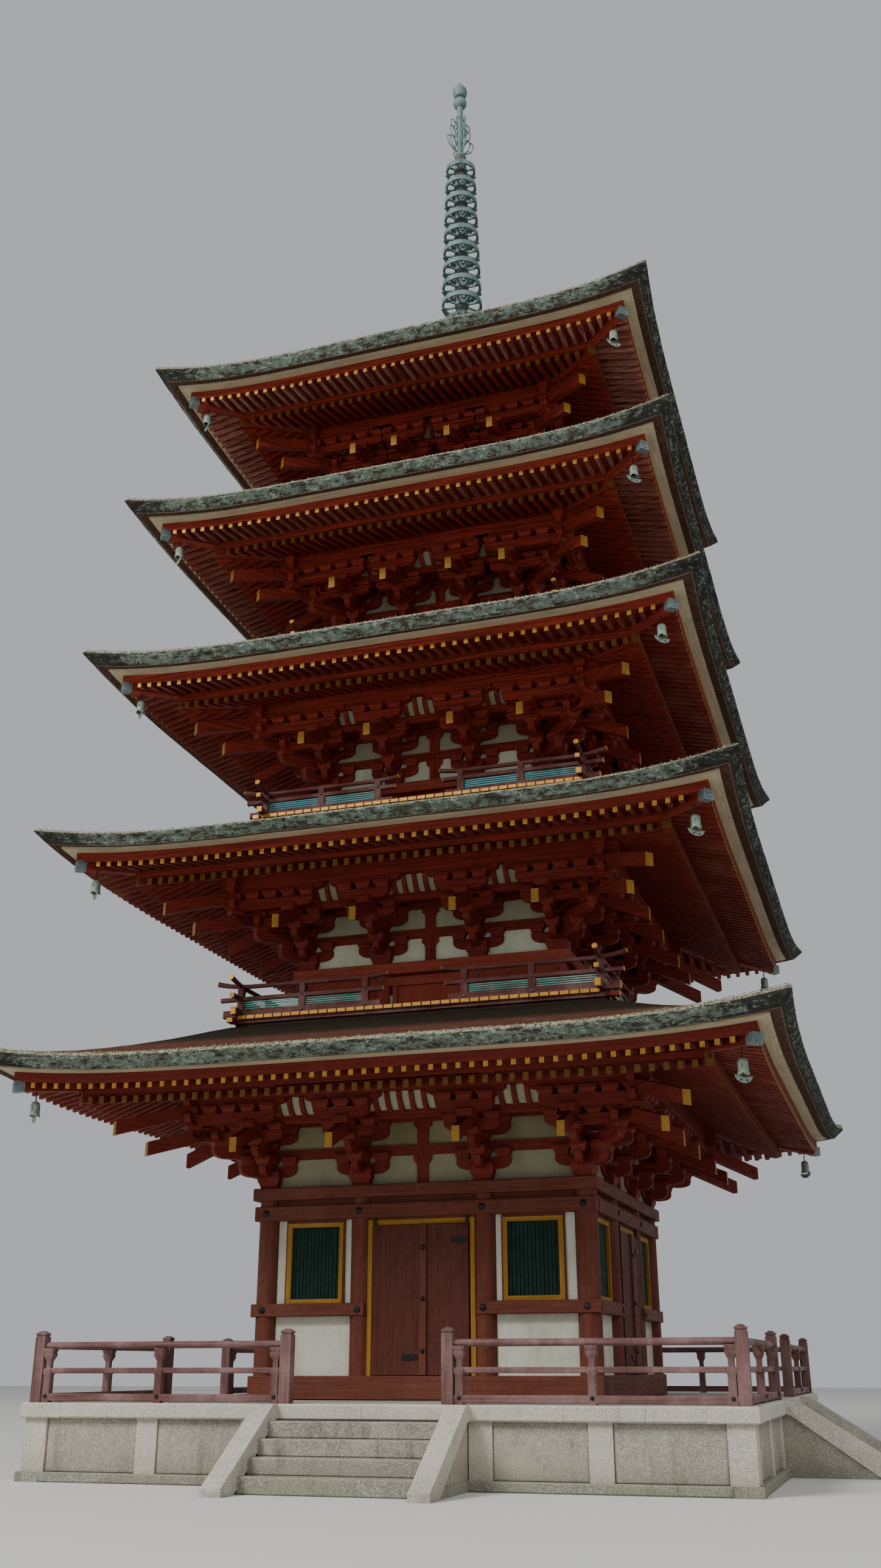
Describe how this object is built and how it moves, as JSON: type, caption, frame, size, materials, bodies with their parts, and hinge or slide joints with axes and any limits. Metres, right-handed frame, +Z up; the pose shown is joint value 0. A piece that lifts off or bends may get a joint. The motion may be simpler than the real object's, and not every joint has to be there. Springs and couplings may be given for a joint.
{
  "type": "five-storied pagoda",
  "caption": "Five-storied timber pagoda with bark roofs, red bracketed eaves, railed balconies, a ringed bronze finial and a railed stone platform with stairs; plank doors swing open",
  "frame": {"origin": "on the ground at the tower's axis", "axes": "+Z up, the front stair faces -Y"},
  "size_m": [13.0426, 13.0426, 29.0323],
  "materials": {
    "granite": "rough",
    "weathered_paint": "matt",
    "plaster": "matt",
    "door_wood": "matt",
    "bare_wood": "matt",
    "bark": "rough",
    "bronze": "satin",
    "red_paint": "matt"
  },
  "bodies": {
    "tower": {"stone_platform": "granite", "platform_coping": "granite", "stair_front": "granite", "stair_right": "granite", "stair_back": "granite", "stair_left": "granite", "platform_rail_front_right": "weathered_paint", "platform_rail_back_right": "weathered_paint", "platform_rail_back_left": "weathered_paint", "platform_rail_front_left": "weathered_paint", "frame_front": "red_paint", "wall_front_a": "plaster", "wall_front_b": "plaster", "frame_right": "red_paint", "wall_right_a": "plaster", "wall_right_b": "plaster", "frame_back": "red_paint", "wall_back_a": "plaster", "wall_back_b": "plaster", "door_back_a": "door_wood", "door_back_b": "door_wood", "frame_left": "red_paint", "wall_left_a": "plaster", "wall_left_b": "plaster", "door_left_a": "door_wood", "door_left_b": "door_wood", "first_floor": "bare_wood", "first_ceiling": "bare_wood", "heart_pillar": "bare_wood", "brackets_1": "red_paint", "eaves_1": "red_paint", "roof_1": "bark", "balcony_2": "weathered_paint", "storey_2": "red_paint", "brackets_2": "red_paint", "eaves_2": "red_paint", "roof_2": "bark", "balcony_3": "weathered_paint", "storey_3": "red_paint", "brackets_3": "red_paint", "eaves_3": "red_paint", "roof_3": "bark", "balcony_4": "weathered_paint", "storey_4": "red_paint", "brackets_4": "red_paint", "eaves_4": "red_paint", "roof_4": "bark", "balcony_5": "weathered_paint", "storey_5": "red_paint", "brackets_5": "red_paint", "eaves_5": "red_paint", "roof_5": "bark", "finial_base": "bronze", "finial_rings": "bronze", "finial_crown": "bronze"},
    "door_front_a_leaf": {"door_front_a": "door_wood"},
    "door_front_b_leaf": {"door_front_b": "door_wood"},
    "door_right_a_leaf": {"door_right_a": "door_wood"},
    "door_right_b_leaf": {"door_right_b": "door_wood"}
  },
  "joints": [
    {"name": "door_front_a_swing", "type": "hinge", "parent": "tower", "child": "door_front_a_leaf", "pos_m": [-0.715, -2.6, 1.3], "axis": [0, 0, -1], "range_deg": [0, 100]},
    {"name": "door_front_b_swing", "type": "hinge", "parent": "tower", "child": "door_front_b_leaf", "pos_m": [0.715, -2.6, 1.3], "axis": [0, 0, 1], "range_deg": [0, 100]},
    {"name": "door_right_a_swing", "type": "hinge", "parent": "tower", "child": "door_right_a_leaf", "pos_m": [2.6, -0.715, 1.3], "axis": [0, 0, -1], "range_deg": [0, 100]},
    {"name": "door_right_b_swing", "type": "hinge", "parent": "tower", "child": "door_right_b_leaf", "pos_m": [2.6, 0.715, 1.3], "axis": [0, 0, 1], "range_deg": [0, 100]}
  ]
}
